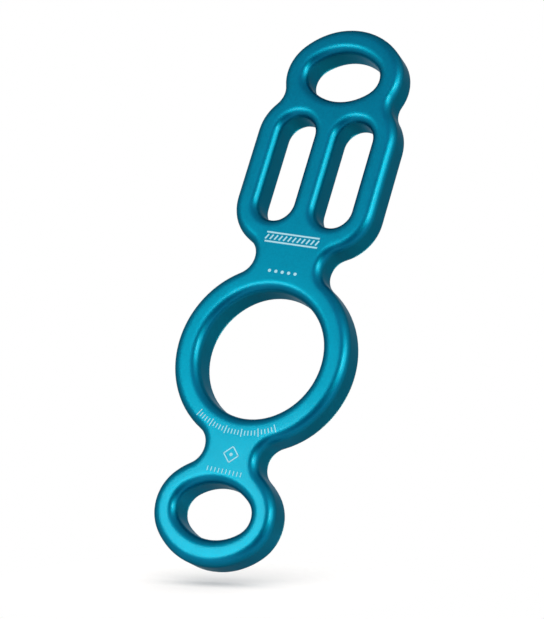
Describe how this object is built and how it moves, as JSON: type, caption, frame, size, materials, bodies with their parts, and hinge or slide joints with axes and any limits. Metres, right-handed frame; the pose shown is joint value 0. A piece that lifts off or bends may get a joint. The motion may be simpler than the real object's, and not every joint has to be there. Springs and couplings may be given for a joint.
{
  "type": "rappel descender",
  "caption": "One-piece rappel descender plate: a large rope ring, a slotted frame of parallel bars, and an oval carabiner eye at each end, with rounded edges and anodised finish.",
  "frame": {"origin": "centre of the large ring's bore, halfway through the plate", "axes": "+Z along the plate towards the slotted end, +X across the plate, +Y through its thickness towards the back face; the front face looks along -Y"},
  "size_m": [0.0652, 0.0126, 0.1991],
  "materials": {
    "anodised_plate": "teal anodised, satin, with fine grain"
  },
  "bodies": {
    "root": {"descender_body": "anodised_plate"}
  },
  "joints": []
}
